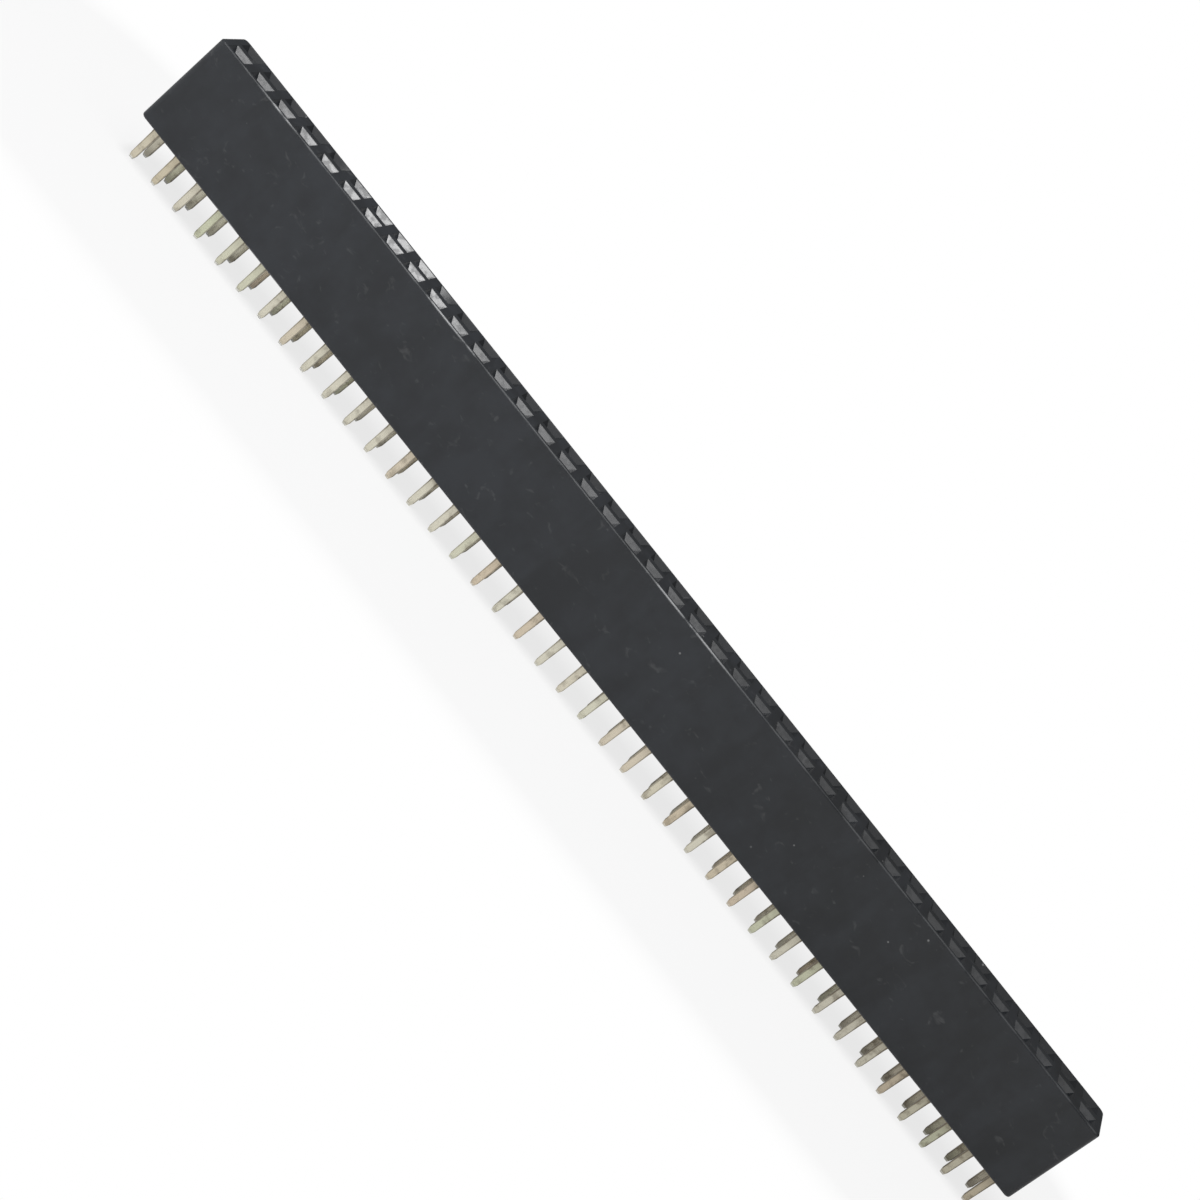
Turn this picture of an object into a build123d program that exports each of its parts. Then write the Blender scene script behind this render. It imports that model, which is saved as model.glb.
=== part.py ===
from build123d import *
import os

# Double-row female pin header: one moulded housing with a stamped spring contact in each cell.
# Millimetres. X runs along the length, Y across the two rows, Z from the board to the mating face.
# The origin is the middle of the seating plane, which is the housing's underside.

# Grid of cells
columns = 40
rows = 2
pitch = 2.54  # between columns
row_pitch = 2.54  # between rows

# Housing
housing_height = 8.5
side_rim = 0.33  # mating face left outside the funnels, along each long side
end_rim = 0.67  # mating face left outside the funnels, at each end
corner_radius = 0.50  # the four upright corners
edge_radius = 0.18  # around the mating face
foot_radius = 0.20  # around the underside

# Lead-in funnel and the square throat under it
funnel_mouth = 1.80
funnel_depth = 0.45
throat_width = 0.90
throat_depth = 0.35

# Stamped contact: a folded base, two spring arms that face each other across Y, and a tail
strip_thickness = 0.20
contact_width = 0.80  # along X
contact_span = 1.30  # across the outsides of the two arms, along Y
pin_gap = 0.45  # between the arms where they grip a pin
base_bottom = 0.90  # above the seating plane
base_height = 1.30
grip_drop = 0.90  # from the arms' tips down to where they grip
tip_gap = 0.90  # between the centre lines of the two flared tips
tip_clearance = 0.12  # from the arms' tips up to the shelf under the throat
arm_bend_radius = 0.50

# Barbs on the base that bite the cavity walls
barb_reach = 0.10
barb_height = 0.45
barb_ramp = 0.20
arm_clearance = 0.10  # cavity wall to the outside of an arm

# Solder tail, a flat blade that narrows towards its tip
tail_length = 3.15  # below the seating plane
tail_waist_width = 0.66
tail_waist_drop = 0.60  # below the seating plane, where the wide root ends
tail_end_width = 0.56
tail_tip_width = 0.34
tail_tip_bevel = 0.40  # height of the bevels on the blade's narrow sides
tail_tip_edge = 0.10  # thickness left at the very tip
tail_chisel = 0.22  # height of the bevels on the blade's wide sides
tail_flat_width = 0.44  # left flat between the long edges, which are pressed to a slope
tail_edge_drop = 0.065  # how far each slope falls, at the root's full width
tail_shoulder = 0.20  # straight stretch under the base, before the tail steps in
tail_jog_drop = 0.50  # height over which it steps in to the middle of its cell
tail_bend_radius = 0.18

# Sizes that follow from the ones above
housing_length = (columns - 1) * pitch + funnel_mouth + 2 * end_rim
housing_width = (rows - 1) * row_pitch + funnel_mouth + 2 * side_rim
throat_bottom = housing_height - funnel_depth - throat_depth
cavity_length = contact_width + 2 * barb_reach
cavity_width = contact_span + 2 * arm_clearance
base_top = base_bottom + base_height
tip_height = throat_bottom - tip_clearance
arm_offset = (contact_span - strip_thickness) / 2


def in_line(index, count, spacing):
    """Place of one cell in an evenly spaced line that is centred on the origin."""
    return (index - (count - 1) / 2) * spacing


def cell_places(column):
    x = in_line(column, columns, pitch)
    return [Location((x, in_line(row, rows, row_pitch), 0)) for row in range(rows)]


def box_between(x_size, y_size, low, high):
    """Upright box centred on Z that runs from one height to another."""
    box = Box(x_size, y_size, high - low, align=(Align.CENTER, Align.CENTER, Align.MIN))
    return Pos(0, 0, low) * box


def funnel():
    face = housing_height
    mouth = Pos(0, 0, face) * Rectangle(funnel_mouth, funnel_mouth)
    throat = Pos(0, 0, face - funnel_depth) * Rectangle(throat_width, throat_width)
    return loft([throat, mouth])


def cell_cut():
    """All that one contact's cell takes out of the housing, from the mating face to the underside."""
    throat = box_between(throat_width, throat_width, throat_bottom, housing_height - funnel_depth)
    cavity = box_between(cavity_length, cavity_width, 0, throat_bottom)
    return funnel() + throat + cavity


def housing():
    block = box_between(housing_length, housing_width, 0, housing_height)
    block = fillet(block.edges().filter_by(Axis.Z), corner_radius)
    block = fillet(block.faces().sort_by(Axis.Z)[-1].edges(), edge_radius)
    block = fillet(block.faces().sort_by(Axis.Z)[0].edges(), foot_radius)
    cut = cell_cut()
    cuts = [place * cut for column in range(columns) for place in cell_places(column)]
    return block - cuts


def folded_strip(points, radius):
    """A strip of sheet that follows a bent line in the YZ plane."""
    line = FilletPolyline(*points, radius=radius)
    section = Plane.YZ * trace(line, line_width=strip_thickness)
    return extrude(section, amount=contact_width / 2, both=True)


def spring_arm():
    """The arm on +Y: it leans in to its grip and flares out again at its tip."""
    grip = (pin_gap + strip_thickness) / 2
    points = [
        (arm_offset, base_top),
        (arm_offset, base_top + arm_bend_radius),
        (grip, tip_height - grip_drop),
        (tip_gap / 2, tip_height),
    ]
    arm = folded_strip(points, arm_bend_radius)
    return arm & box_between(contact_width, contact_span, base_top, tip_height)


def barb():
    """One tooth, on the +X edge of a side plate, with a ramp on the side that enters first."""
    root = contact_width / 2
    top = base_top - barb_ramp
    outline = Polyline(
        (root, top),
        (root + barb_reach, top - barb_ramp),
        (root + barb_reach, top - barb_height),
        (root, top - barb_height),
        close=True,
    )
    tooth = extrude(Plane.XZ * make_face(outline), amount=strip_thickness / 2, both=True)
    return Pos(0, arm_offset, 0) * tooth


def base():
    """Two side plates joined by a back plate: a U when seen from above."""
    side = box_between(contact_width, strip_thickness, base_bottom, base_top)
    sides = Pos(0, arm_offset, 0) * side + Pos(0, -arm_offset, 0) * side
    back = box_between(strip_thickness, contact_span, base_bottom, base_top)
    back = Pos((strip_thickness - contact_width) / 2, 0, 0) * back
    quarter = barb()
    barbs = quarter + mirror(quarter, Plane.YZ)
    return sides + back + barbs + mirror(barbs, Plane.XZ)


def mirrored_face(corners):
    """Closed outline from the corners of its right half, top to bottom."""
    left = [(-side, height) for side, height in reversed(corners)]
    return make_face(Polyline(*corners, *left, close=True))


def tail_outline():
    """The blade as seen from a long side, from the base down to its bevelled tip."""
    corners = [
        (contact_width / 2, base_bottom),
        (contact_width / 2, 0),
        (tail_waist_width / 2, -tail_waist_drop),
        (tail_end_width / 2, -tail_length + tail_tip_bevel),
        (tail_tip_width / 2, -tail_length),
    ]
    return Plane.XZ * mirrored_face(corners)


def tail_side():
    """The blade as seen from one end: wide enough for its jog, then bevelled to a thin edge."""
    bevel_top = -tail_length + tail_chisel
    corners = [
        (contact_span, base_bottom),
        (contact_span, bevel_top),
        (strip_thickness / 2, bevel_top),
        (tail_tip_edge / 2, -tail_length),
    ]
    return Plane.YZ * mirrored_face(corners)


def pressed_edge():
    """Sliver that pressing takes off one long edge of the blade, from the seating plane down."""
    half_thickness = strip_thickness / 2
    corners = [
        (tail_flat_width / 2, half_thickness),
        (contact_width / 2, half_thickness),
        (contact_width / 2, half_thickness - tail_edge_drop),
    ]
    return extrude(make_face(Polyline(*corners, close=True)), amount=tail_length, dir=(0, 0, -1))


def tail():
    """Comes down from the side plate on -Y and steps in to the middle of the cell."""
    jog_top = base_bottom - tail_shoulder
    points = [
        (-arm_offset, base_bottom),
        (-arm_offset, jog_top),
        (0, jog_top - tail_jog_drop),
        (0, -tail_length),
    ]
    blade = folded_strip(points, tail_bend_radius)
    blade = blade & extrude(tail_outline(), amount=contact_span, both=True)
    blade = blade & extrude(tail_side(), amount=contact_width, both=True)
    slivers = pressed_edge() + mirror(pressed_edge(), Plane.YZ)
    return blade - slivers - mirror(slivers, Plane.XZ)


def contact():
    arm = spring_arm()
    return base() + arm + mirror(arm, Plane.XZ) + tail()


os.makedirs("parts", exist_ok=True)
export_step(housing(), "parts/housing.step")
print("housing", round(housing_length, 2), "x", round(housing_width, 2), "x", housing_height)

one_contact = contact().solid()
for column in range(columns):
    pair = Compound([place * one_contact for place in cell_places(column)])
    export_step(pair, f"parts/contact_pair_{column + 1:02d}.step")
print("contacts", columns * rows)
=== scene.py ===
import bmesh
import bpy
import math
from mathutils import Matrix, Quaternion, Vector


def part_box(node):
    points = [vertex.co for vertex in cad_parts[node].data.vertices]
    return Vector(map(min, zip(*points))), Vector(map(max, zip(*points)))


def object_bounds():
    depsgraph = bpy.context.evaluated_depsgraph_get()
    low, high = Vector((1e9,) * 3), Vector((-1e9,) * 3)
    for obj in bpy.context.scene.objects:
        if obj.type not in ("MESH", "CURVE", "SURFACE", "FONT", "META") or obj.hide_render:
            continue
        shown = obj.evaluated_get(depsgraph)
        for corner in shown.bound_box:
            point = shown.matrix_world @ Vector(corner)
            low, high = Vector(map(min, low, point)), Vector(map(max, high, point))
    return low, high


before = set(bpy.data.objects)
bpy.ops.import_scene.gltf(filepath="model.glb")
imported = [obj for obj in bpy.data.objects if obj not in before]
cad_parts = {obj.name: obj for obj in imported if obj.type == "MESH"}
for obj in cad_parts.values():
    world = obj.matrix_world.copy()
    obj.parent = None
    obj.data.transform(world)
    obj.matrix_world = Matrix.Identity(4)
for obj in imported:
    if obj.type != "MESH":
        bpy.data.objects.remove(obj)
startBounds = [list(corner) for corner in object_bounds()]
print("frame loaded:", len(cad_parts), "nodes")


def cornersOf(node):
    # a node's lowest and highest corners, in millimetres like every length below not marked as metres
    return [Vector(corner) * 1000 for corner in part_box(node)]


housingLow, housingHigh = cornersOf("housing")
contactNodes = [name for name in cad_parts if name.startswith("contact_pair")]
firstLow = cornersOf(contactNodes[0])[0]
lastLow, lastHigh = cornersOf(contactNodes[-1])
columnPitch = (lastLow.x - firstLow.x) / (len(contactNodes) - 1)
tailTip = firstLow.z
hair = 0.01  # a length too small to see, for the sharp side of a mask


class Wire:
    # one output in a shader tree; sums on it add the nodes that do them
    def __init__(self, tree, socket):
        self.tree = tree
        self.socket = socket

    def node(self, kind, settings, inputs, outlet=0):
        made = self.tree.nodes.new(kind)
        for name, value in settings.items():
            setattr(made, name, value)
        for name, value in inputs.items():
            if isinstance(value, Wire):
                self.tree.links.new(value.socket, made.inputs[name])
            else:
                made.inputs[name].default_value = value
        return Wire(self.tree, made.outputs[outlet])

    def math(self, operation, *values):
        return self.node("ShaderNodeMath", {"operation": operation}, dict(enumerate(values)))

    def __add__(self, other):
        return self.math("ADD", self, other)

    __radd__ = __add__

    def __sub__(self, other):
        return self.math("SUBTRACT", self, other)

    def __rsub__(self, other):
        return self.math("SUBTRACT", other, self)

    def __mul__(self, other):
        return self.math("MULTIPLY", self, other)

    __rmul__ = __mul__

    def size(self):
        return self.math("ABSOLUTE", self)

    def near(self, middle, inside, outside):
        # one while this value is within inside of the middle, nothing beyond outside
        return 1 - (self - middle).size().over(inside, outside)

    def larger(self, other):
        return self.math("MAXIMUM", self, other)

    def over(self, low, high):
        # soft step: nothing below low, one above high
        steps = {"Value": self, "From Min": low, "From Max": high}
        return self.node("ShaderNodeMapRange", {"interpolation_type": "SMOOTHSTEP"}, steps)

    def stretch(self, x, y, z):
        return self.node("ShaderNodeVectorMath", {"operation": "MULTIPLY"}, {0: self, 1: (x, y, z)})

    def noise(self, scale, detail=2.0, warp=0.0):
        inputs = {"Vector": self, "Scale": scale, "Detail": detail, "Distortion": warp}
        return self.node("ShaderNodeTexNoise", {}, inputs)

    def blend(self, first, second):
        # mixes two colours, with this value as the share of the second
        return self.node("ShaderNodeMix", {"data_type": "RGBA"}, {0: self, 6: first, 7: second}, 2)

    def bump(self, distance, strength):
        return self.node("ShaderNodeBump", {}, {"Height": self, "Distance": distance, "Strength": strength})


def surface(name):
    material = bpy.data.materials.new(name)
    material.use_nodes = True
    tree = material.node_tree
    shader = tree.nodes["Principled BSDF"]
    coords = tree.nodes.new("ShaderNodeTexCoord")
    place = Wire(tree, coords.outputs["Object"]).stretch(1000, 1000, 1000)  # millimetres
    return material, tree, shader, place


def axes(place):
    parts = place.node("ShaderNodeSeparateXYZ", {}, {0: place}).socket.node
    return [Wire(place.tree, out) for out in parts.outputs]


def feed(tree, shader, links):
    for name, wire in links.items():
        tree.links.new(wire.socket, shader.inputs[name])


housingLook = {
    "dark": (0.0118, 0.0133, 0.0152, 1),
    "pale": (0.0310, 0.0346, 0.0408, 1),
    "edgeWearAndHighlight": (0.60, 0.61, 0.62, 1),
    "dust": (0.34, 0.34, 0.34, 1),
    "specular": 0.42,
    "roughness": 0.46,
    "cloudStretch": (0.30, 0.30, 0.09),
    "mottleScale": 0.55,
    "litEndFrom": 45.0,  # between these places along the row the plastic is painted a little paler towards -X: painted light, falling off towards +X
    "litEndTo": -30.0,
    "litEndShare": 0.45,
    "grainScale": 6.0,
    "grainHeight": 0.004,
    "flowStretch": (0.05, 1.0, 1.4),  # flow lines of the moulding, along the length
    "edgeWidth": 0.19,
    # where an edge is painted pale, partly as wear from handling and partly as a painted highlight line
    # along it: middle, fully so within, not at all beyond
    "wearAndHighlightAtMating": ((-45.0, 2.0, 5.0), (-24.5, 2.0, 5.0), (3.0, 2.0, 7.0)),
    "wearAndHighlightAtFoot": ((-39.5, 2.0, 6.5),),
    "wearAndHighlightElsewhere": 0.12,
    "dustScale": 0.62,
    "cleanShare": 0.80,  # of the cells in which a speck could lie
    "dustShare": 0.6,
    "smudgeStretch": (0.9, 1.0, 1.3),
    "smudgeShare": 0.10,
    "funnelDepth": 0.45,
    "funnelRim": 0.30,  # from the long side in to the funnels
    # stretches of each row whose funnels came out glossy: middle, fully so within, not at all beyond
    "glossyNear": (-33.5, 5.0, 13.0),
    "glossyFar": (-32.5, 3.0, 7.0),
    "leastGloss": 0.22,  # of the rest of the row on -Y
    "streakScale": 2.2,
    "polishedRoughness": 0.22,
    "coatRoughness": 0.08,
    "coatIor": 1.8,
}


def housingToneAndLitEnd(place, x):
    look = housingLook
    cloud = place.stretch(*look["cloudStretch"]).noise(1.0, 3.0, 0.6)
    mottle = place.noise(look["mottleScale"], 4.0)
    tone = (cloud * 0.7 + mottle * 0.5).over(0.42, 0.80)
    # painted light: the plastic is made paler towards the -X end, as if more light falls there
    litEnd = 1 - x.over(look["litEndTo"], look["litEndFrom"])
    return tone * (1 - look["litEndShare"]) + litEnd * look["litEndShare"]


# pale edges: partly wear from handling, partly painted highlight lines where an edge would catch the light
def edgeWearAndHighlightMask(place, x, y, z):
    look = housingLook
    width = look["edgeWidth"]
    nearSide = y.size().over(housingHigh.y - width, housingHigh.y - hair)
    nearEnd = x.size().over(housingHigh.x - width, housingHigh.x - hair)
    nearTop = z.over(housingHigh.z - width, housingHigh.z - hair)
    nearFoot = 1 - z.over(hair, width)
    edges = nearSide.larger(nearEnd) * nearTop.larger(nearFoot)
    atMating = sum(x.near(*stretch) for stretch in look["wearAndHighlightAtMating"])
    atFoot = sum(x.near(*stretch) for stretch in look["wearAndHighlightAtFoot"])
    ragged = place.stretch(0.5, 0.4, 0.4).noise(1.0, 4.0).over(0.40, 0.58)
    return edges * (nearTop * atMating + nearFoot * atFoot + look["wearAndHighlightElsewhere"]) * ragged


def dustAndSmudges(place):
    look = housingLook
    cells = {"Vector": place, "Scale": look["dustScale"]}
    toSpeck = place.node("ShaderNodeTexVoronoi", {}, cells)
    draw = place.node("ShaderNodeTexVoronoi", {}, cells, "Color")
    chosen = axes(draw)[0].over(look["cleanShare"], look["cleanShare"] + 0.02)
    dust = (1 - toSpeck.over(0.025, 0.075)) * chosen
    smudges = place.stretch(*look["smudgeStretch"]).noise(1.0, 3.0, 0.8).over(0.62, 0.78)
    return dust, smudges


def funnelWalls(place, x, y, z):
    # three masks: every funnel's walls, the dull ones among them, which are also darkened as painted shade,
    # and how much the others shine
    look = housingLook
    rim = housingHigh.y - look["funnelRim"]
    bottom = housingHigh.z - look["funnelDepth"]
    within = 1 - y.size().over(rim - 2 * hair, rim)
    below = 1 - z.over(housingHigh.z - 3 * hair, housingHigh.z - hair)
    walls = within * below * z.over(bottom - 3 * hair, bottom)
    farRow = y.over(-hair, hair)
    glossyNear = x.near(*look["glossyNear"]) * (1 - look["leastGloss"]) + look["leastGloss"]
    glossyFar = x.near(*look["glossyFar"])
    dullAndShaded = walls * farRow * (1 - glossyFar)
    streaks = place.noise(look["streakScale"], 3.0).over(0.38, 0.58) * 0.6 + 0.4
    shine = walls * streaks * (glossyNear * (1 - farRow) + glossyFar * farRow)
    return walls, dullAndShaded, shine


def housingPlastic():
    look = housingLook
    material, tree, shader, place = surface("housingPlastic")
    x, y, z = axes(place)
    # the tone holds random cloudiness and the painted light towards the -X end
    tone = housingToneAndLitEnd(place, x)
    edgeWearAndHighlight = edgeWearAndHighlightMask(place, x, y, z)
    dust, smudges = dustAndSmudges(place)
    walls, dullAndShaded, shine = funnelWalls(place, x, y, z)
    grain = place.noise(look["grainScale"], 3.0)
    flow = place.stretch(*look["flowStretch"]).noise(1.6, 3.0)

    colour = tone.blend(look["dark"], look["pale"])
    # painted shade: the dull far-row funnel walls are darkened towards the darkest plastic
    colour = (dullAndShaded * 0.4).blend(colour, look["dark"])
    # pale edges, partly rubbed wear and partly a painted highlight
    colour = (edgeWearAndHighlight * 0.8).blend(colour, look["edgeWearAndHighlight"])
    colour = (dust * look["dustShare"] + smudges * look["smudgeShare"]).blend(colour, look["dust"])
    roughness = look["roughness"] + (tone - 0.5) * 0.10 + (grain - 0.5) * 0.10 + dust * 0.2
    roughness = roughness - (walls - dullAndShaded) * (look["roughness"] - look["polishedRoughness"])
    roughness = roughness + dullAndShaded * 0.16 - edgeWearAndHighlight * 0.15
    height = grain * (1 - walls * 0.8) + flow * 0.7 + dust * 1.5
    feed(tree, shader, {
        "Base Color": colour,
        "Roughness": roughness,
        "Coat Weight": shine,
        "Normal": height.bump(look["grainHeight"] / 1000, 0.55),
    })
    shader.inputs["Specular IOR Level"].default_value = look["specular"]
    shader.inputs["Coat Roughness"].default_value = look["coatRoughness"]
    shader.inputs["Coat IOR"].default_value = look["coatIor"]
    return material


contactLook = {
    "pale": (0.80, 0.765, 0.63, 1),
    "warm": (0.74, 0.61, 0.46, 1),
    "green": (0.70, 0.72, 0.53, 1),
    "tipGlint": (0.95, 0.94, 0.88, 1),
    "tarnishAndShade": (0.19, 0.163, 0.122, 1),
    "roughness": 0.26,
    "drawnStretch": (9.0, 9.0, 0.5),  # fine lines left by drawing and stamping
    "waveStretch": (1.1, 0.8, 0.7),
    "waveHeight": 0.06,  # of the slow unevenness that stamping leaves in a blade
    "cloudScale": 1.3,
    "rootShadeHeights": (-1.7, 0.10),  # heights over which painted shade comes in towards the housing
    "rootTarnish": 0.34,
    "flatWidth": 0.44,  # between the slopes pressed along a tail's long edges
    "edgeShade": 0.55,  # painted shade on those slopes
    "cloudTarnish": 0.35,
    "backRowShade": 0.30,
    "leftEndDarkening": 0.06,
    "rightEndShade": 0.42,
    "tipHeight": 0.20,
    "glintedTipsTo": (-34.0, -20.0),  # places along the row: tips before the first are painted white as a glint
}


def pinLuck(place, x, backRow):
    # two numbers for each contact, and how far a point lies from the middle of its column
    cell = x * (1 / columnPitch) + len(contactNodes) / 2
    column = cell.math("FLOOR", cell)
    across = ((cell - column - 0.5) * columnPitch).size()
    pin = column * 2 + backRow
    draws = [{"W": pin}, {"W": pin + 90.5}]
    luck = [place.node("ShaderNodeTexWhiteNoise", {"noise_dimensions": "1D"}, draw) for draw in draws]
    return luck[0], luck[1], across


# darkening of the tails: cloudy tarnish, with painted shade at the roots, on the edge slopes, on the back
# row and towards the +X end, and darker towards the -X end
def tarnishAndShade(x, z, across, backRow, cloud):
    look = contactLook
    flat = look["flatWidth"] / 2
    # painted shade at the roots of the tails, under the housing
    stainAndShade = z.over(*look["rootShadeHeights"]) * look["rootTarnish"]
    # painted shade on the pressed slopes along each tail's edges
    stainAndShade = stainAndShade + across.over(flat - 0.03, flat + 0.05) * look["edgeShade"]
    stainAndShade = stainAndShade + cloud.over(0.50, 0.70) * look["cloudTarnish"]
    # painted shade on the back row of tails
    stainAndShade = stainAndShade + backRow * look["backRowShade"]
    # painted shade: tails darker towards the +X end, where less light falls
    stainAndShade = stainAndShade + x.over(lastHigh.x * 0.1, lastHigh.x) * look["rightEndShade"]
    # darker towards the -X end
    return stainAndShade + (1 - x.over(firstLow.x, firstLow.x * 0.1)) * look["leftEndDarkening"]


def contactPlating():
    look = contactLook
    material, tree, shader, place = surface("contactPlating")
    x, y, z = axes(place)
    backRow = y.over(-hair, hair)
    luckGreen, luckWarm, across = pinLuck(place, x, backRow)
    drawn = place.stretch(*look["drawnStretch"]).noise(1.0, 3.0)
    waves = place.stretch(*look["waveStretch"]).noise(1.0, 1.0)
    cloud = place.noise(look["cloudScale"], 3.0)
    tip = 1 - z.over(tailTip + look["tipHeight"] - 0.08, tailTip + look["tipHeight"])
    glintedTips = tip * (1 - x.over(*look["glintedTipsTo"]))

    colour = luckGreen.over(0.35, 1.0).blend(look["pale"], look["green"])
    colour = (luckWarm.over(0.55, 1.0) * 0.8).blend(colour, look["warm"])
    colour = tarnishAndShade(x, z, across, backRow, cloud).blend(colour, look["tarnishAndShade"])
    # painted highlight: the tips are made paler, and those towards the -X end white, as glints
    colour = (tip * 0.5 + glintedTips * 0.5).blend(colour, look["tipGlint"])
    roughness = look["roughness"] + (drawn - 0.5) * 0.25 + (cloud - 0.5) * 0.15 - tip * 0.15
    feed(tree, shader, {
        "Base Color": colour,
        # the glinting tips are made nearly non-metallic so that they show white
        "Metallic": 1 - glintedTips * 0.9,
        "Roughness": roughness,
        "Normal": (waves + drawn * 0.1 + cloud * 0.06).bump(look["waveHeight"] / 1000, 0.5),
    })
    return material


def dress(node, material):
    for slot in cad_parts[node].material_slots:
        slot.material = material


dress("housing", housingPlastic())
plating = contactPlating()
for node in contactNodes:
    dress(node, plating)
print("materials done")


studio = {
    "floorRadius": 3.0,  # metres
    "floorColour": (0.86, 0.86, 0.865, 1),
    "seenGlow": 0.78,  # how white the camera sees the paper round the header, over its lit colour
    "mirroredGlow": 0.30,  # the same for what metal and plastic mirror of it
    "plainFrom": 4.0,  # out from the header, the paper turns to plain white between these
    "plainTo": 22.0,
    "skyStrength": 0.12,  # of the light it gives; the camera sees it white
}


def rayKind(tree, name):
    # one where a ray of this kind meets the backdrop
    rays = tree.nodes.new("ShaderNodeLightPath")
    return Wire(tree, rays.outputs[name])


def floorPaper():
    material, tree, shader, place = surface("floorPaper")
    shader.inputs["Base Color"].default_value = studio["floorColour"]
    shader.inputs["Roughness"].default_value = 0.9
    shader.inputs["Specular IOR Level"].default_value = 0.0
    glow = tree.nodes.new("ShaderNodeEmission")
    x, y = axes(place)[:2]
    pastEnd = (x.size() - housingHigh.x).larger(0)
    pastSide = (y.size() - housingHigh.y).larger(0)
    away = pastEnd.math("SQRT", pastEnd * pastEnd + pastSide * pastSide)
    plain = away.over(studio["plainFrom"], studio["plainTo"])
    seen = rayKind(tree, "Is Camera Ray")
    mirrored = rayKind(tree, "Is Glossy Ray").larger(rayKind(tree, "Is Transmission Ray"))
    near = (seen * studio["seenGlow"]).larger(mirrored * studio["mirroredGlow"])
    share = near.larger(seen.larger(mirrored) * plain)
    join = share.node("ShaderNodeMixShader", {}, {0: share})
    tree.links.new(shader.outputs[0], join.socket.node.inputs[1])
    tree.links.new(glow.outputs[0], join.socket.node.inputs[2])
    tree.links.new(join.socket, tree.nodes["Material Output"].inputs["Surface"])
    return material


def layFloor():
    mesh = bpy.data.meshes.new("floor")
    shape = bmesh.new()
    bmesh.ops.create_circle(shape, cap_ends=True, radius=studio["floorRadius"], segments=96)
    shape.to_mesh(mesh)
    shape.free()
    floor = bpy.data.objects.new("floor", mesh)
    floor.location.z = startBounds[0][2]
    floor.data.materials.append(floorPaper())
    bpy.context.scene.collection.objects.link(floor)


def paintSky():
    world = bpy.data.worlds.new("studioSky")
    bpy.context.scene.world = world
    world.use_nodes = True
    tree = world.node_tree
    sky = tree.nodes["Background"]
    sky.inputs["Color"].default_value = (1, 1, 1, 1)
    seen = rayKind(tree, "Is Camera Ray")
    strength = seen + (1 - seen) * studio["skyStrength"]
    tree.links.new(strength.socket, sky.inputs["Strength"])


lamps = {  # metres
    "height": 0.40,
    "back": -0.13,
    "depth": 0.26,
    # the overhead softbox: strips along X, each with its two ends and its brightness
    "strips": {
        "softboxLeft": (-0.20, -0.04, 4.5),
        "softboxCore": (-0.138, -0.073, 10.5),
        "softboxMiddle": (-0.04, 0.02, 2.2),
        "softboxRight": (0.02, 0.20, 1.0),
    },
    "fill": {"place": (-0.35, -0.35, 0.25), "size": (0.5, 0.5), "brightness": 1.1},
}


def hangLamp(name, place, aim, size, brightness):
    light = bpy.data.lights.new(name, "AREA")
    light.shape = "RECTANGLE"
    light.size, light.size_y = size
    light.energy = brightness * math.pi * size[0] * size[1]
    lamp = bpy.data.objects.new(name, light)
    lamp.location = place
    lamp.rotation_mode = "QUATERNION"
    lamp.rotation_quaternion = (Vector(aim) - Vector(place)).to_track_quat("-Z", "Y")
    bpy.context.scene.collection.objects.link(lamp)


def hangLamps():
    for name, (left, right, brightness) in lamps["strips"].items():
        middle = (left + right) / 2
        place = (middle, lamps["back"], lamps["height"])
        hangLamp(name, place, (middle, lamps["back"], 0), (right - left, lamps["depth"]), brightness)
    fill = lamps["fill"]
    hangLamp("fill", fill["place"], (0, 0, 0), fill["size"], fill["brightness"])


layFloor()
paintSky()
hangLamps()
print("studio ready")


view = {
    "aim": (-2.0, housingLow.y, 4.3),  # a point on the near long side
    "distance": 201.2,
    "swing": -0.28,  # degrees round from square on to the long side
    "drop": 17.54,  # degrees that the camera looks down
    "roll": 51.31,  # degrees, so the header runs from corner to corner
    "fieldOfView": 24.58,
}


def placeCamera():
    swing = math.radians(view["swing"])
    drop = math.radians(view["drop"])
    ahead = Vector((math.sin(swing) * math.cos(drop), math.cos(swing) * math.cos(drop), -math.sin(drop)))
    lens = bpy.data.cameras.new("camera")
    lens.sensor_fit = "HORIZONTAL"
    lens.angle = math.radians(view["fieldOfView"])
    lens.clip_start = 0.01
    camera = bpy.data.objects.new("camera", lens)
    camera.location = (Vector(view["aim"]) - ahead * view["distance"]) / 1000
    camera.rotation_mode = "QUATERNION"
    spin = Quaternion((0, 0, 1), math.radians(view["roll"]))
    camera.rotation_quaternion = ahead.to_track_quat("-Z", "Y") @ spin
    bpy.context.scene.collection.objects.link(camera)
    bpy.context.scene.camera = camera


placeCamera()
bpy.context.scene.view_settings.view_transform = "Standard"
print("camera placed")
